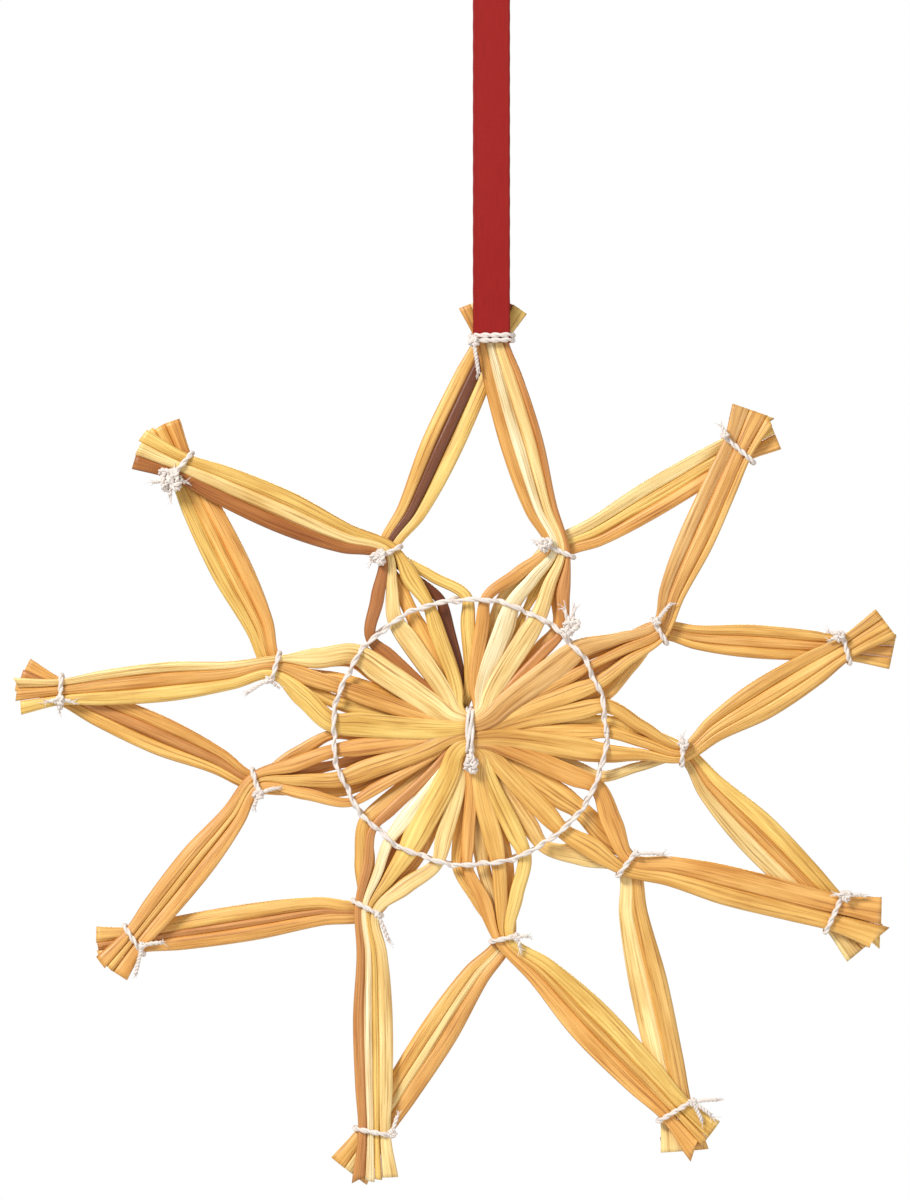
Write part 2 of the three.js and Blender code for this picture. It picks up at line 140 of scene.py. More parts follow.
def through(xs, ys, at, kept_level=False):
    """A smooth curve through (xs, ys). kept_level keeps it from passing beyond any value."""
    xs = np.asarray(xs, float)
    ys = np.asarray(ys, float)
    flat = ys.ndim == 1
    if flat:
        ys = ys[:, None]
    gap = np.diff(xs)[:, None]
    slope = np.diff(ys, axis=0) / gap
    tangent = np.empty_like(ys)
    tangent[0], tangent[-1] = slope[0], slope[-1]
    if kept_level:
        both = slope[:-1] * slope[1:]
        total = slope[:-1] + slope[1:]
        total[total == 0] = 1
        tangent[1:-1] = np.where(both > 0, 2 * both / total, 0)
    else:
        tangent[1:-1] = (gap[:-1] * slope[1:] + gap[1:] * slope[:-1]) / (gap[:-1] + gap[1:])
    piece = np.clip(np.searchsorted(xs, at, side="right") - 1, 0, len(xs) - 2)
    t = ((at - xs[piece]) / gap[piece, 0])[:, None]
    h = gap[piece]
    out = ((1 + 2 * t) * (1 - t) ** 2 * ys[piece] + t * (1 - t) ** 2 * h * tangent[piece]
           + t * t * (3 - 2 * t) * ys[piece + 1] + t * t * (t - 1) * h * tangent[piece + 1])
    return out[:, 0] if flat else out


def unit(vectors):
    return vectors / np.linalg.norm(vectors, axis=-1, keepdims=True)


def distances(points):
    """How far along a polyline each of its points lies."""
    return np.concatenate([[0], np.cumsum(np.linalg.norm(np.diff(points, axis=0), axis=1))])


def squared_circle(turn, power):
    """Cosine and sine of the angles, pushed outwards to a rounded square by a power below 1."""
    return [np.sign(wave) * np.abs(wave) ** power for wave in (np.cos(turn), np.sin(turn))]


def directions(route, closed):
    """The direction of a route at each of its points."""
    if closed:
        return unit(np.roll(route, -1, axis=0) - np.roll(route, 1, axis=0))
    return unit(np.gradient(route, axis=0))


def carried_axes(along, start):
    """Two directions across a route, carried along it without twisting."""
    across = np.empty_like(along)
    across[0] = unit(np.cross(along[0], start))
    for i in range(1, len(along)):
        across[i] = unit(across[i - 1] - along[i] * np.dot(across[i - 1], along[i]))
    return across, np.cross(along, across)


def spaced(points, step, closed=False):
    """Points at even steps along a polyline."""
    points = np.asarray(points, float)
    if closed:
        points = np.vstack([points, points[:1]])
    along = distances(points)
    count = max(4, int(round(along[-1] / step)))
    at = np.linspace(0, along[-1], count + 1)
    if closed:
        at = at[:-1]
    return np.column_stack([np.interp(at, along, points[:, axis]) for axis in range(3)])


# ---------------------------------------------------------------- mesh making


def mesh_piece(name, node, vertices, faces, material, grain, tint=None):
    """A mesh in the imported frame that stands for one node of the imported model."""
    mesh = bpy.data.meshes.new(name)
    mesh.from_pydata([tuple(v) for v in vertices], [], faces)
    mesh.update()
    attribute = mesh.attributes.new("grain", "FLOAT_VECTOR", "POINT")
    attribute.data.foreach_set("vector", np.asarray(grain, np.float32).ravel())
    if tint is not None:
        colours = mesh.color_attributes.new("tint", "FLOAT_COLOR", "POINT")
        full = np.ones((len(vertices), 4), np.float32)
        full[:, :3] = tint
        colours.data.foreach_set("color", full.ravel())
    mesh.polygons.foreach_set("use_smooth", np.ones(len(mesh.polygons), bool))
    mesh.materials.append(material)
    piece = bpy.data.objects.new(name, mesh)
    bpy.context.scene.collection.objects.link(piece)
    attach(piece, "root")
    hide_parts(node)
    return piece


def grid_faces(rows, columns, first=0, wrap_rows=False):
    """Quads over a grid of vertices that closes on itself across."""
    faces = []
    for row in range(rows if wrap_rows else rows - 1):
        below = first + row * columns
        above = first + ((row + 1) % rows) * columns
        for column in range(columns):
            beside = (column + 1) % columns
            faces.append((below + column, below + beside, above + beside, above + column))
    return faces


# ---------------------------------------------------------------- straws, read from the solids


def rings_of(node):
    """The rings of vertices of a straw's solid, in order along it, in millimetres."""
    mesh = bmesh.new()
    mesh.from_mesh(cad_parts[node].data)
    bmesh.ops.remove_doubles(mesh, verts=mesh.verts, dist=2e-7)

    def middle_of_cut(vertex):
        normals = [face.normal for face in vertex.link_faces]
        return all(normals[0].dot(normal) > 0.9999 for normal in normals)

    start = next(vertex for vertex in mesh.verts if middle_of_cut(vertex))
    seen = {start}
    edge = {start}
    rings = []
    while edge:
        edge = {e.other_vert(v) for v in edge for e in v.link_edges} - seen
        seen |= edge
        if len(edge) > 1:
            rings.append(np.array([v.co for v in edge]) / MM)
    mesh.free()
    return rings


def station_of(ring):
    """A ring's middle, its two side corners and its thickness."""
    middle = ring.mean(axis=0)
    sides = ring[np.argsort(np.abs(ring[:, 1] - middle[1]))[:2]]
    return {"place": middle, "across": (sides[1] - sides[0]) / 2, "thick": np.ptp(ring[:, 1])}


STRAWS = sorted(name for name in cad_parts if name.startswith("straw_"))
SOLIDS = {}
for straw in STRAWS:
    stations = [station_of(ring) for ring in rings_of(straw)]
    if stations[10]["place"][0] > stations[11]["place"][0]:
        stations.reverse()
    SOLIDS[straw] = {"left": stations[10::-1], "right": stations[11:]}

CENTRE = np.mean([half[BUNDLE]["place"] for solid in SOLIDS.values() for half in solid.values()],
                 axis=0)
CENTRE[1] = 0.0


def angle_of(place):
    return math.degrees(math.atan2(place[2] - CENTRE[2], place[0] - CENTRE[0])) % 360


def middle_of(node):
    low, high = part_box(node)
    return np.array((low + high) / 2) / MM


def nearest_tie(place, kind):
    return min(range(1, 10), key=lambda n: np.linalg.norm(middle_of(f"{kind}_tie_{n}") - place))


HALVES = []
for straw in STRAWS:
    for side, stations in SOLIDS[straw].items():
        HALVES.append({
            "straw": straw,
            "side": side,
            "layer": "front" if stations[RING]["place"][1] < 0 else "rear",
            "inner": nearest_tie(stations[INNER]["place"], "inner"),
            "tip": nearest_tie(stations[TIP]["place"], "tip"),
            "stations": stations,
        })
for layer in ("front", "rear"):
    for tie in range(1, 10):
        group = [half for half in HALVES if half["layer"] == layer and half["inner"] == tie]
        facing = angle_of(np.mean([half["stations"][INNER]["place"] for half in group], axis=0))
        group.sort(key=lambda half: -((angle_of(half["stations"][RING]["place"]) - facing + 180) % 360))
        for place, half in enumerate(group):
            half["key"] = (layer, tie, place)


def spread_under_inner_ties():
    """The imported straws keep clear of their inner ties; the real ones fill them."""
    for tie in range(1, 10):
        group = [half for half in HALVES if half["inner"] == tie]
        middle = np.mean([half["stations"][INNER]["place"] for half in group], axis=0)
        out = unit((middle - CENTRE) * np.array([1.0, 0, 1.0]))
        side = np.array([out[2], 0.0, -out[0]])
        reach = max(abs(np.dot(half["stations"][INNER]["place"] - middle, side))
                    + np.linalg.norm(half["stations"][INNER]["across"]) for half in group)
        spread = 1 + TIE_ROOM / reach
        for half in group:
            station = half["stations"][INNER]
            off = np.dot(station["place"] - middle, side)
            station["place"] = station["place"] + side * off * (spread - 1)
            station["across"] = station["across"] * spread


spread_under_inner_ties()


# ---------------------------------------------------------------- materials


def new_material(name):
    material = bpy.data.materials.new(name)
    material.use_nodes = True
    nodes = material.node_tree.nodes
    return material, nodes, material.node_tree.links, nodes["Principled BSDF"]


def grain_node(nodes, links, stretch):
    """The piece's own grain coordinates, stretched."""
    source = nodes.new("ShaderNodeAttribute")
    source.attribute_name = "grain"
    scale = nodes.new("ShaderNodeVectorMath")
    scale.operation = "MULTIPLY"
    scale.inputs[1].default_value = stretch
    links.new(source.outputs["Vector"], scale.inputs[0])
    return scale.outputs[0]


def noise_node(nodes, links, vector, scale, detail=3.0, rough=0.55):
    noise = nodes.new("ShaderNodeTexNoise")
    noise.inputs["Scale"].default_value = scale
    noise.inputs["Detail"].default_value = detail
    noise.inputs["Roughness"].default_value = rough
    links.new(vector, noise.inputs["Vector"])
    return noise.outputs["Fac"]


def ramp_node(nodes, links, value, stops):
    ramp = nodes.new("ShaderNodeValToRGB")
    elements = ramp.color_ramp.elements
    while len(elements) < len(stops):
        elements.new(0.5)
    for element, (place, grey) in zip(elements, stops):
        element.position = place
        colour = grey if hasattr(grey, "__len__") else (grey, grey, grey)
        element.color = (*colour, 1)
    links.new(value, ramp.inputs["Fac"])
    return ramp.outputs["Color"]


def multiply_node(nodes, links, a, b, factor=1.0):
    mix = nodes.new("ShaderNodeMix")
    mix.data_type = "RGBA"
    mix.blend_type = "MULTIPLY"
    mix.inputs["Factor"].default_value = factor
    links.new(a, mix.inputs["A"])
    links.new(b, mix.inputs["B"])
    return mix.outputs["Result"]


def straw_material():
    """Satin straw: each stalk's own tint, fine fibres along it with painted shade in the grooves of
    their bump, paler and browner bands.
    """
    material, nodes, links, shader = new_material("straw_satin")
    tint = nodes.new("ShaderNodeAttribute")
    tint.attribute_name = "tint"
    fibre = noise_node(nodes, links, grain_node(nodes, links, (0.022, 1.0, 1.0)), 2.6, 4.0, 0.7)
    band = noise_node(nodes, links, grain_node(nodes, links, (0.06, 0.3, 0.3)), 1.3, 2.0)
    speck = noise_node(nodes, links, grain_node(nodes, links, (0.9, 4.0, 4.0)), 1.6, 2.0, 0.4)
    # Fibre tone along the grain, darkest brown where the same noise makes the bump's grooves: painted
    # shade in the fibres' grooves.
    fibres_and_groove_shade = ramp_node(nodes, links, fibre, [
        (0.36, (0.50, 0.34, 0.22)), (0.44, (0.86, 0.80, 0.70)), (0.54, (1.0, 1.0, 1.0)),
        (0.66, (1.16, 1.22, 1.36))])
    bands = ramp_node(nodes, links, band, [
        (0.34, (0.84, 0.72, 0.56)), (0.50, (1.0, 0.98, 0.95)), (0.66, (1.08, 1.14, 1.26))])
    specks = ramp_node(nodes, links, speck, [(0.24, (0.50, 0.34, 0.24)), (0.29, (1, 1, 1))])
    colour = multiply_node(nodes, links, tint.outputs["Color"], fibres_and_groove_shade, 0.9)
    colour = multiply_node(nodes, links, colour, bands, 0.9)
    colour = multiply_node(nodes, links, colour, specks, 0.6)
    links.new(colour, shader.inputs["Base Color"])
    shine = nodes.new("ShaderNodeMapRange")
    shine.inputs["From Min"].default_value = 0.3
    shine.inputs["From Max"].default_value = 0.7
    shine.inputs["To Min"].default_value = 0.50
    shine.inputs["To Max"].default_value = 0.32
    links.new(fibre, shine.inputs["Value"])
    links.new(shine.outputs["Result"], shader.inputs["Roughness"])
    bump = nodes.new("ShaderNodeBump")
    bump.inputs["Strength"].default_value = 0.7
    bump.inputs["Distance"].default_value = 0.12 * MM
    links.new(fibre, bump.inputs["Height"])
    links.new(bump.outputs["Normal"], shader.inputs["Normal"])
    shader.inputs["Specular IOR Level"].default_value = 0.5
    shader.inputs["Coat Weight"].default_value = 0.12
    shader.inputs["Coat Roughness"].default_value = 0.3
    return material


def thread_material():
    """Off-white cotton: fine fibres across the twist, with painted grey-pink shade in the dips of their
    bump.
    """
    material, nodes, links, shader = new_material("thread_cotton")
    fibre = noise_node(nodes, links, grain_node(nodes, links, (1.2, 5.0, 5.0)), 2.2, 4.0, 0.7)
    cloud = noise_node(nodes, links, grain_node(nodes, links, (0.25, 0.25, 0.25)), 1.4, 2.0)
    # Cotton fibre tone, greyest and pinkest where the same noise makes the bump's dips: painted shade
    # in the dips.
    fibres_and_groove_shade = ramp_node(nodes, links, fibre, [
        (0.28, linear(205, 190, 182)), (0.50, linear(238, 229, 220)), (0.70, linear(250, 245, 238))])
    clouds = ramp_node(nodes, links, cloud, [(0.3, (0.93, 0.88, 0.88)), (0.6, (1, 1, 1))])
    links.new(multiply_node(nodes, links, fibres_and_groove_shade, clouds), shader.inputs["Base Color"])
    bump = nodes.new("ShaderNodeBump")
    bump.inputs["Strength"].default_value = 0.6
    bump.inputs["Distance"].default_value = 0.05 * MM
    links.new(fibre, bump.inputs["Height"])
    links.new(bump.outputs["Normal"], shader.inputs["Normal"])
    shader.inputs["Roughness"].default_value = 0.88
    shader.inputs["Specular IOR Level"].default_value = 0.2
    shader.inputs["Sheen Weight"].default_value = 0.35
    shader.inputs["Sheen Roughness"].default_value = 0.5
    return material


def ribbon_material():
    """Red satin: long floats of warp with a fine weft under them and a denser edge."""
    material, nodes, links, shader = new_material("ribbon_satin")
    warp = noise_node(nodes, links, grain_node(nodes, links, (0.12, 9.0, 1.0)), 2.0, 3.0, 0.6)
    weft = nodes.new("ShaderNodeTexWave")
    weft.wave_type = "BANDS"
    weft.bands_direction = "X"
    weft.inputs["Scale"].default_value = 0.9
    weft.inputs["Distortion"].default_value = 0.6
    weft.inputs["Detail"].default_value = 1.0
    links.new(grain_node(nodes, links, (1.0, 1.0, 1.0)), weft.inputs["Vector"])
    edge = nodes.new("ShaderNodeAttribute")
    edge.attribute_name = "tint"
    warps = ramp_node(nodes, links, warp, [
        (0.3, linear(138, 15, 12)), (0.5, linear(148, 19, 15)), (0.7, linear(156, 24, 19))])
    links.new(multiply_node(nodes, links, warps, edge.outputs["Color"]), shader.inputs["Base Color"])
    height = nodes.new("ShaderNodeMath")
    height.operation = "ADD"
    links.new(warp, height.inputs[0])
    links.new(weft.outputs["Fac"], height.inputs[1])
    bump = nodes.new("ShaderNodeBump")
    bump.inputs["Strength"].default_value = 0.25
    bump.inputs["Distance"].default_value = 0.03 * MM
    links.new(height.outputs[0], bump.inputs["Height"])
    links.new(bump.outputs["Normal"], shader.inputs["Normal"])
    shader.inputs["Roughness"].default_value = 0.55
    shader.inputs["Specular IOR Level"].default_value = 0.25
    shader.inputs["Sheen Weight"].default_value = 0.1
    shader.inputs["Sheen Roughness"].default_value = 0.4
    return material


def floor_material():
    material, nodes, links, shader = new_material("pale_floor")
    place = nodes.new("ShaderNodeTexCoord")
    cloud = noise_node(nodes, links, place.outputs["Object"], 3.0, 2.0)
    links.new(ramp_node(nodes, links, cloud, [(0.3, (0.86, 0.85, 0.84)), (0.7, (0.9, 0.9, 0.89))]),
              shader.inputs["Base Color"])
    shader.inputs["Roughness"].default_value = 0.9
    return material


# ---------------------------------------------------------------- camera, light and floor

VIEW_MIDDLE = (-5.9 * MM, -103.2 * MM)  # the picture's middle, right and up from the ribbon's fold
VIEW_HEIGHT = 194.5 * MM
CAMERA_DISTANCE = 1.25
SENSOR = 36.0


def make_camera():
    data = bpy.data.cameras.new("camera")
    data.sensor_width = SENSOR
    data.lens = SENSOR * CAMERA_DISTANCE / VIEW_HEIGHT
    data.clip_start, data.clip_end = 0.05, 10.0
    camera = bpy.data.objects.new("camera", data)
    camera.location = (VIEW_MIDDLE[0], -CAMERA_DISTANCE, VIEW_MIDDLE[1])
    camera.rotation_euler = (math.radians(90), 0, 0)
    bpy.context.scene.collection.objects.link(camera)
    bpy.context.scene.camera = camera


def make_area(name, location, size, power):
    data = bpy.data.lights.new(name, "AREA")
    data.shape = "DISK"
    data.size = size
    data.energy = power
    light = bpy.data.objects.new(name, data)
    light.location = location
    aim = Vector(CENTRE * MM) - light.location
    light.rotation_mode = "QUATERNION"
    light.rotation_quaternion = aim.to_track_quat("-Z", "Y")
    bpy.context.scene.collection.objects.link(light)


def make_world():
    """White to look at; the light that it gives is softer, so that the lamps can model the straws."""
    world = bpy.data.worlds.new("studio")
    bpy.context.scene.world = world
    world.use_nodes = True
    nodes, links = world.node_tree.nodes, world.node_tree.links
    seen = nodes.new("ShaderNodeLightPath")
    glow = nodes["Background"]
    glow.inputs["Color"].default_value = (1.0, 0.985, 0.965, 1)
    glow.inputs["Strength"].default_value = 0.44
    white = nodes.new("ShaderNodeBackground")
    white.inputs["Color"].default_value = (1, 1, 1, 1)
    white.inputs["Strength"].default_value = 1.0
    mix = nodes.new("ShaderNodeMixShader")
    links.new(seen.outputs["Is Camera Ray"], mix.inputs[0])
    links.new(glow.outputs[0], mix.inputs[1])
    links.new(white.outputs[0], mix.inputs[2])
    links.new(mix.outputs[0], nodes["World Output"].inputs["Surface"])


def make_floor():
    bpy.ops.mesh.primitive_circle_add(vertices=96, radius=0.22, fill_type="NGON",
                                      location=(CENTRE[0] * MM, 0, CAD_BOX[0].z - 0.2))
    floor = bpy.context.object
    floor.name = "floor"
    floor.data.materials.append(floor_material())


make_camera()
make_world()
make_area("key", (-0.60, -0.70, 0.50), 0.35, 11.5)
make_area("fill", (0.6, -0.6, -0.35), 0.6, 2.0)
make_area("behind", (0.1, 0.9, 0.3), 0.6, 5.0)
make_floor()
bpy.context.scene.view_settings.view_transform = "Standard"

# ---------------------------------------------------------------- the ribbon


def ribbon_route():
    """The ribbon's middle line, in millimetres: up the front, over the fold, down the back."""
    low, high = (np.array(corner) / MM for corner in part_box("ribbon"))
    half_solid = 0.2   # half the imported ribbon's thickness
    out = (high[1] - low[1]) / 2 - half_solid
    near = 1.82        # before and behind the middle plane at the tie
    fold = high[2] - half_solid - out
    bottom = low[2]
    climb = [(-near, bottom), (-near - 0.12, bottom + 3), (-(near + out) / 2, bottom + 9),
             (-out + 0.1, bottom + 15), (-out, bottom + 20), (-out, bottom + 32), (-out, fold)]
    turn = [(-out * math.cos(math.radians(a)), fold + out * math.sin(math.radians(a)))
            for a in (30, 60, 90)]
    front = climb + turn
    back = [(-y, z) for y, z in reversed(front[:-1])]
    return [np.array([(low[0] + high[0]) / 2, y, z]) for y, z in front + back]


def make_ribbon():
    """Flat satin, a little fuller at its two woven edges, its ends pressed under the tie."""
    points = ribbon_route()
    ends = np.array([0, 0, -RIBBON_TUCK])
    points = [points[0] + ends] + points + [points[-1] + ends]
    route = spaced(through(range(len(points)), points, np.linspace(0, len(points) - 1, 400)), 0.6)
    along = unit(np.gradient(route, axis=0))
    right = np.array([1.0, 0, 0])
    outwards = np.cross(along, right)
    columns = np.linspace(-1, 1, 25)
    section = [(x, 1) for x in columns] + [(x, -1) for x in columns[::-1]]
    vertices, grain, tint = [], [], []
    step = distances(route)
    for i, place in enumerate(route):
        for x, face in section:
            edge = abs(x) > 0.9
            fullness = 0.5 * RIBBON_THICKNESS * (1.15 if edge else 0.85) * (0.55 if abs(x) == 1 else 1)
            cupped = 0.05 * math.sin(step[i] / 23.0) * (x * x - 0.4)
            wave = 0.02 * math.sin(step[i] * 1.9 + x * 40) if edge else 0.0
            vertices.append((place + right * x * (RIBBON_WIDTH / 2 + wave)
                             + outwards[i] * (face * fullness + cupped)) * MM)
            grain.append((step[i], x * RIBBON_WIDTH / 2, face))
            tint.append((0.9, 0.88, 0.88) if edge else (1, 1, 1))
    faces = grid_faces(len(route), len(section))
    faces.append(tuple(reversed(range(len(section)))))
    last = (len(route) - 1) * len(section)
    faces.append(tuple(last + k for k in range(len(section))))
    piece = mesh_piece("ribbon_satin", "ribbon", vertices, faces, ribbon_material(),
                       grain, tint)


make_ribbon()

# ---------------------------------------------------------------- the straws

STRAW = straw_material()

# A half straw's stations in the disc: distance from the star's middle plane, thickness, and the
# share of its disc width, for one that lies under its neighbours and for one that lies on them.
DISC = {
    BUNDLE: ((1.25, 2.45), (1.9, 0.6), (0.3, 0.62)),
    BEND: ((1.1, 2.2), (1.6, 0.65), (0.55, 0.72)),
    FAN: ((0.85, 1.7), (1.2, 0.85), (0.8, 0.85)),
    RING: ((0.8, 1.0), (1.15, 1.1), (0.74, 0.82)),
}
# How far a rear half straw comes forward of that when it lies fully over its neighbours, so that
# it shows between the front ones.
REAR_FORWARD = {BUNDLE: 0.1, BEND: 0.6, FAN: 1.7, RING: 1.2}
ARM_FULLNESS = 1.12    # width of the straws in an arm and under a tie, as a share of the packed
RING_BEND_AT = 0.75    # where between the fan and the ring a straw is at its widest


def profile_of(half, draw):
    """A half straw's control points, outwards: place, thickness, width and skew of the cut."""
    stations = half["stations"]
    places = np.array([station["place"] for station in stations])
    widths = np.array([2 * np.linalg.norm(station["across"]) for station in stations])
    thick = np.array([station["thick"] for station in stations])
    colour, over, disc_width = STALKS[half["key"][:2]][half["key"][2]]
    for station, ((near, far), deep, share) in DISC.items():
        if half["layer"] == "front":
            places[station, 1] = -near - (far - near) * over
        else:
            places[station, 1] = near - REAR_FORWARD[station] * over
        thick[station] = deep[0] + (deep[1] - deep[0]) * over
        wanted = disc_width * (share[0] + (share[1] - share[0]) * over)
        widths[station] = wanted if station in (FAN, RING) else max(widths[station], wanted)
    widths[FUNNEL] *= 0.8 + 0.06 * disc_width
    widths[INNER] *= ARM_FULLNESS
    widths[ARM_A:TIP] *= ARM_FULLNESS + 0.06 * (draw.random() - 0.5)
    thick[[ARM_A, ARM_B, ARM_C]] *= 1.0 + 0.12 * (draw.random() - 0.5)
    places[ARM_A:TIP, 1] += 0.25 * (draw.random() - 0.5)
    ring_bend = places[FAN] + RING_BEND_AT * (places[RING] - places[FAN])
    places = np.insert(places, RING, ring_bend, axis=0)
    widths = np.insert(widths, RING, disc_width)
    thick = np.insert(thick, RING, (thick[FAN] + thick[RING]) / 2)
    cut = stations[CUT]["across"]
    past = unit(places[-1] - places[-2])
    half_cut = np.linalg.norm(cut - past * np.dot(cut, past))
    skew = float(np.dot(cut, past)) / half_cut
    widths[-1] = 2 * half_cut
    if np.dot(cut, np.cross(past, TOWARDS_VIEWER)) < 0:
        skew = -skew
    return {"places": places, "widths": widths, "thick": thick, "skew": skew,
            "tint": np.array(colour) * (0.95 + 0.1 * draw.random())}


def make_straw(name):
    """One stalk from tip to tip: a creased tube with its two cut ends open."""
    draw = random.Random(int(name[-2:]) * 7 + 3)
    halves = {half["side"]: half for half in HALVES if half["straw"] == name}
    left = profile_of(halves["left"], draw)
    right = profile_of(halves["right"], draw)
    places = np.vstack([left["places"][::-1], right["places"]])
    widths = np.concatenate([left["widths"][::-1], right["widths"]])
    thick = np.concatenate([left["thick"][::-1], right["thick"]])
    knots = distances(places)
    count = int(knots[-1] / STRAW_STEP)
    last_ring = count
    at = np.linspace(0, knots[-1], count + 1)
    line = through(knots, places, at)
    line[:, 1] = through(knots, places[:, 1], at, kept_level=True)
    wide = through(knots, widths, at, kept_level=True)
    deep = through(knots, thick, at, kept_level=True)
    along = unit(np.gradient(line, axis=0) * np.array([1.0, 0, 1.0]))
    side = np.cross(along, TOWARDS_VIEWER)
    middle = (knots[len(left["places"]) - 1] + knots[len(left["places"])]) / 2
    blend = 1 / (1 + np.exp(-(at - middle) / 1.0))
    tint = left["tint"] * (1 - blend[:, None]) + right["tint"] * blend[:, None]

    turn = 2 * np.pi * np.arange(STRAW_SIDES) / STRAW_SIDES
    section_a, section_b = squared_circle(turn, 0.8)
    tilt = math.radians(draw.uniform(-9, 9))
    crease = draw.uniform(-0.45, 0.45)
    fold = 0.10 + 0.08 * draw.random()
    dent = 1 - fold * np.exp(-((section_a - crease) / 0.22) ** 2)
    seed = int(name[-2:]) * 11.3
    vertices, grain, tints = [], [], []

    def add_ring(i, inset=0.0, shift=0.0, painted_shade=1.0):
        half_wide = max(wide[i] / 2 - inset, 0.05)
        half_deep = max(deep[i] / 2 - inset, 0.05)
        lean = 0.0
        if i == 0:
            lean = -left["skew"]
        elif i == last_ring:
            lean = right["skew"]
        for k in range(STRAW_SIDES):
            a = section_a[k] * half_wide
            b = section_b[k] * half_deep * dent[k]
            ridge = 0.02 * math.sin(9 * turn[k] + seed) + 0.012 * math.sin(17 * turn[k] + 2 * seed)
            b = b * (1 + ridge) + a * math.sin(tilt)
            point = line[i] + side[i] * a + TOWARDS_VIEWER * b + along[i] * (shift + lean * a)
            vertices.append(point * MM)
            grain.append((at[i] + shift, section_a[k] * FIBRES_ACROSS / 2, section_b[k] * 0.7 + seed))
            tints.append(tint[i] * painted_shade)

    # The rings inside each open end take darker tints, 0.7 at the wall and 0.35 deep in the hollow:
    # painted shade inside the cut ends.
    add_ring(0, WALL, HOLLOW, 0.35)
    add_ring(0, WALL, 0.0, 0.7)
    for i in range(count + 1):
        add_ring(i)
    add_ring(last_ring, WALL, 0.0, 0.7)
    add_ring(last_ring, WALL, -HOLLOW, 0.35)
    rows = len(vertices) // STRAW_SIDES
    faces = grid_faces(rows, STRAW_SIDES)
    faces.append(tuple(reversed(range(STRAW_SIDES))))
    faces.append(tuple((rows - 1) * STRAW_SIDES + k for k in range(STRAW_SIDES)))
    mesh_piece(name + "_stalk", name, vertices, faces, STRAW, grain, tints)


for straw in STRAWS:
    make_straw(straw)

# ---------------------------------------------------------------- thread

COTTON = thread_material()


class Thread:
    """Twisted thread, gathered into one mesh."""

    def __init__(self, seed):
        self.vertices, self.faces, self.grain = [], [], []
        self.draw = random.Random(seed)

    def tube(self, route, radii, sides=7, closed=False):
        """A plain strand along a route, in millimetres."""
        route = np.asarray(route, float)
        along = directions(route, closed)
        across, third = carried_axes(along, [0.31, 0.9, 0.27])
        turn = 2 * np.pi * np.arange(sides) / sides
        first = len(self.vertices)
        length = 0.0
        for i, place in enumerate(route):
            if i:
                length += np.linalg.norm(place - route[i - 1])
            for k in range(sides):
                out = across[i] * math.cos(turn[k]) + third[i] * math.sin(turn[k])
                self.vertices.append((place + out * radii[i]) * MM)
                self.grain.append((length, math.cos(turn[k]) + first * 0.01, math.sin(turn[k])))
        self.faces += grid_faces(len(route), sides, first, wrap_rows=closed)
        if not closed:
            last = first + (len(route) - 1) * sides
            self.faces.append(tuple(first + k for k in reversed(range(sides))))
            self.faces.append(tuple(last + k for k in range(sides)))

    def twist(self, points, radius, closed=False, lay=3.2, fray=False):
        """Two strands wound round each other along a route; lay is the length of one turn."""
        route = spaced(points, THREAD_STEP, closed)
        along = directions(route, closed)
        across, third = carried_axes(along, [0.2, 0.93, 0.31])
        turns = max(1, round(len(route) * THREAD_STEP / lay))
        count = len(route) if closed else len(route) - 1
        slip = 0.0     # what the carried directions have turned by, once round a closed route
        if closed:
            slip = math.atan2(np.dot(across[-1], third[0]), np.dot(across[-1], across[0]))
        for strand in (0, 1):
            phase = (np.arange(len(route)) / count) * (2 * np.pi * turns - slip) + np.pi * strand
            wound = (route + 0.48 * radius * (across * np.cos(phase)[:, None]
                                              + third * np.sin(phase)[:, None]))
            radii = np.full(len(route), 0.60 * radius)
            radii *= 1 + 0.05 * np.sin(np.arange(len(route)) * 0.9 + strand)
            self.tube(wound, radii, closed=closed)
        if fray:
            self.fray(route[-1], along[-1], radius)

    def fray(self, place, along, radius):
        """Loose fibres at the end of a tail."""
        for _ in range(6):
            aim = along + np.array([self.draw.uniform(-0.6, 0.6) for _ in range(3)])
            aim /= np.linalg.norm(aim)
            bend = np.array([self.draw.uniform(-0.5, 0.5) for _ in range(3)])
            reach = self.draw.uniform(0.6, 1.4)
            begin = place + np.array([self.draw.uniform(-0.5, 0.5) for _ in range(3)]) * radius
            steps = np.linspace(0, 1, 6)
            route = [begin + aim * reach * t + bend * reach * t * t for t in steps]
            self.tube(route, 0.09 * (1 - 0.6 * steps), sides=5)

    def knot(self, middle, size, flat=0.75, radius=0.36):
        """A tight knot: a trefoil of thread pressed into a lump."""
        tilt = self.draw.uniform(0, math.pi)
        turn = np.linspace(0, 2 * np.pi, 60, endpoint=False)
        reach = max(size - radius, 0.35) / 3
        x = np.sin(turn) + 2 * np.sin(2 * turn)
        z = np.cos(turn) - 2 * np.cos(2 * turn)
        y = -np.sin(3 * turn)
        points = np.column_stack([
            (x * math.cos(tilt) - z * math.sin(tilt)) * reach,
            y * size * flat * 0.45,
            (x * math.sin(tilt) + z * math.cos(tilt)) * reach])
        self.twist(np.asarray(middle) + points, radius, closed=True, lay=1.5)

    def finish(self, name, node):
        mesh_piece(name, node, self.vertices, self.faces, COTTON, self.grain)


def flat_axes(place):
    """Outwards and clockwise at a place of the star, seen from the front."""
    out = unit((place - CENTRE) * np.array([1.0, 0, 1.0]))
    return out, np.array([out[2], 0.0, -out[0]])


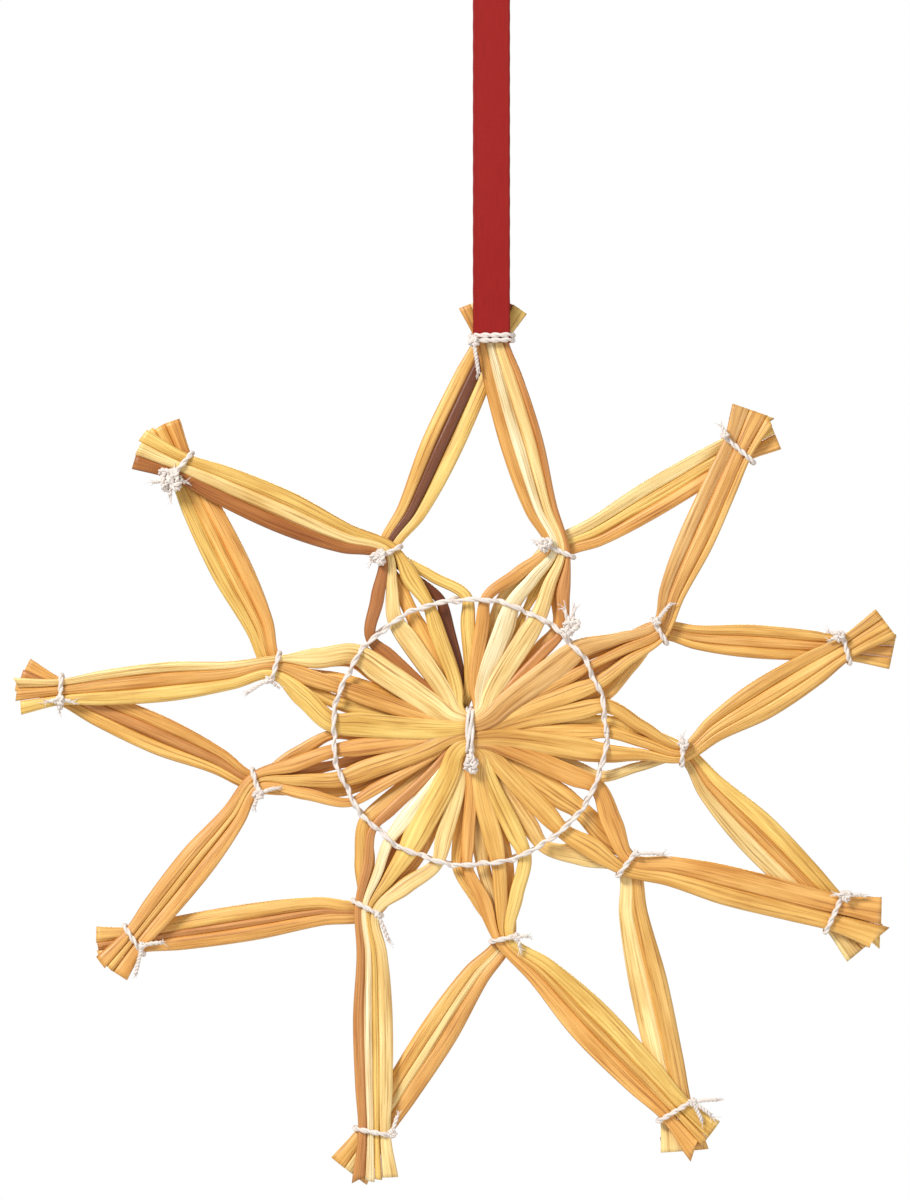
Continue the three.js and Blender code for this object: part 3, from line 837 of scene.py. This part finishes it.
def loop_round(place, out, side, half_wide, half_deep, radius, lean=0.0):
    """A thread's middle line round a bundle: a rounded rectangle with some air for the thread."""
    turn = np.linspace(0, 2 * np.pi, ROUND_STEPS, endpoint=False)
    wide, deep = squared_circle(turn, 0.62)
    a, b = (half_wide + radius) * wide, (half_deep + radius) * deep
    return (place + side * a[:, None] + TOWARDS_VIEWER * b[:, None]
            + out * (lean * a / (half_wide + radius))[:, None])


def knot_place(node, front):
    """The middle and the radius of the lump that the node's solid carries in front."""
    corners = np.array([v.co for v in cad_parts[node].data.vertices]) / MM
    lump = corners[corners[:, 1] < -front]
    low, high = lump.min(axis=0), lump.max(axis=0)
    return (low + high) / 2, max(high[0] - low[0], high[2] - low[2]) / 2


# Loose ends at each knot: their direction in degrees, anticlockwise from the right, and length.
TAILS = {
    "tip_tie_1": [(-80, 4.2)],
    "tip_tie_2": [(110, 1.6)],
    "tip_tie_3": [(150, 1.8), (200, 1.2)],
    "tip_tie_4": [(10, 2.6), (165, 1.6)],
    "tip_tie_5": [(12, 4.0), (-30, 3.4), (-60, 3.0)],
    "tip_tie_6": [(75, 3.4)],
    "tip_tie_7": [(15, 3.2), (-105, 4.2)],
    "tip_tie_8": [(0, 1.8), (180, 1.8), (-90, 1.4)],
    "tip_tie_9": [(0, 2.4), (180, 2.4), (-90, 2.2), (70, 1.5)],
    "inner_tie_1": [(200, 1.0)],
    "inner_tie_2": [(160, 1.0)],
    "inner_tie_3": [(55, 4.0)],
    "inner_tie_4": [(100, 0.9)],
    "inner_tie_5": [(5, 4.4)],
    "inner_tie_6": [(10, 1.8), (-70, 1.6)],
    "inner_tie_7": [(-65, 4.0)],
    "inner_tie_8": [(25, 3.0), (-110, 1.8)],
    "inner_tie_9": [(205, 3.6), (-30, 1.4)],
}


def make_tie(node, station):
    """Thread round the straws that meet at a node, its knot and its loose ends."""
    kind = "inner" if node.startswith("inner") else "tip"
    number = int(node[-1])
    group = [half for half in HALVES if half[kind] == number]
    places = np.array([half["stations"][station]["place"] for half in group])
    middle = places.mean(axis=0)
    middle[1] = 0.0
    out, side = flat_axes(middle)
    half_wide = max(abs(np.dot(half["stations"][station]["place"] - middle, side))
                    + np.linalg.norm(half["stations"][station]["across"]) for half in group)
    half_deep = 1.35
    at_top = node == "tip_tie_1"
    thread = Thread(number * 13 + len(kind))
    if at_top:
        for shift in (-0.25, 0.55):
            thread.twist(loop_round(middle + out * shift, out, side, max(half_wide, 3.0), 1.95,
                                    TIE_THREAD, 0.25), TIE_THREAD, closed=True)
    else:
        thread.twist(loop_round(middle, out, side, half_wide, half_deep, TIE_THREAD, 0.12),
                     TIE_THREAD, closed=True)
    lump, size = knot_place(node, KNOT_FRONT)
    lump[1] = -(TOP_KNOT_FRONT if at_top else KNOT_FRONT)
    thread.knot(lump, size)
    if size > 1.35:
        for _ in range(3 if size > 2 else 1):
            shift = np.array([thread.draw.uniform(-0.4, 0.4), -0.15, thread.draw.uniform(-0.4, 0.4)])
            thread.knot(lump + shift * size, size * 0.75)
    for angle, length in TAILS.get(node, []):
        aim = np.array([math.cos(math.radians(angle)), 0.0, math.sin(math.radians(angle))])
        droop = np.array([0.0, 0.15, -0.12])
        steps = np.linspace(0, 1, 8)
        route = [lump + aim * length * t + droop * length * t * t for t in steps]
        thread.twist(route, TAIL_THREAD, lay=1.4, fray=True)
    thread.finish(node + "_thread", node)


for number in range(1, 10):
    make_tie(f"inner_tie_{number}", INNER)
    make_tie(f"tip_tie_{number}", TIP)


def make_middle_tie():
    """Thread round the whole bundle, upright, with its knot hanging in front."""
    thread = Thread(99)
    deep, up = 3.15, 3.8
    forth, rise = squared_circle(np.linspace(0, 2 * np.pi, ROUND_STEPS, endpoint=False), 0.7)
    for shift in (-0.32, 0.32):
        route = np.column_stack([
            np.full(ROUND_STEPS, CENTRE[0] + shift), -deep * forth, CENTRE[2] + up * rise])
        thread.twist(route, TIE_THREAD, closed=True, lay=7.0)
    lump = np.array([CENTRE[0] + 0.15, -deep + 0.1, CENTRE[2] - 4.7])
    thread.knot(lump, 1.4)
    thread.knot(lump + np.array([0.1, 0.0, -0.9]), 1.35)
    thread.twist([lump + np.array([0, 0, 2.0]), lump + np.array([0.1, 0, 0.6]), lump], 0.4)
    thread.finish("middle_tie_thread", "middle_tie")


make_middle_tie()


def make_ring():
    """The twined ring: one thread in front and one behind, drawn together between the straws."""
    thread = Thread(5)
    crossings = {}
    for layer in ("front", "rear"):
        crossings[layer] = sorted(
            math.radians(angle_of(half["stations"][RING]["place"]))
            for half in HALVES if half["layer"] == layer)
    points = np.array([half["stations"][RING]["place"] for half in HALVES]) - CENTRE
    across = np.abs(points[:, 0]).max()
    upright = np.abs(points[:, 2]).max()
    turn = np.linspace(0, 2 * np.pi, 900, endpoint=False)
    for layer, sign in (("front", -1), ("rear", 1)):
        straws = np.array(crossings[layer])
        gaps = (straws + np.roll(straws, -1)) / 2
        gaps[-1] += np.pi
        dip = np.zeros_like(turn)
        sway = np.zeros_like(turn)
        for k, gap in enumerate(gaps):
            away = (turn - gap + np.pi) % (2 * np.pi) - np.pi
            near = np.exp(-(away / 0.035) ** 2)
            dip += near
            sway += near * (0.28 if k % 2 else -0.28)
        reach = 1.75 + THREAD * 0.6 - 0.6 * np.clip(dip, 0, 1)
        route = np.column_stack([
            CENTRE[0] + (across + sway) * np.cos(turn),
            sign * reach,
            CENTRE[2] + (upright + sway) * np.sin(turn)])
        thread.twist(route, THREAD, closed=True, lay=5.2)
    lump = knot_place("ring_thread", 2.6)[0]
    lump[1] = -2.3
    thread.knot(lump, 1.5)
    out, side = flat_axes(lump)
    thread.knot(lump - out * 1.1, 1.1)
    thread.knot(lump + out * 0.9 + side * 0.2, 1.1)
    for spread, length in ((-0.55, 3.0), (0.35, 3.2)):
        aim = unit(np.array([spread * 0.6, 0.0, 1.0]))
        thread.twist([lump + aim * length * t for t in np.linspace(0, 1, 8)],
                     RING_TAIL, fray=True)
    post = lump.copy()      # the thread's way through to the rear
    post[1] = 2.0
    thread.twist([lump + out * 1.0, post + out * 1.0, post - out * 1.6], RING_TAIL)
    thread.finish("ring_thread_twine", "ring_thread")


make_ring()
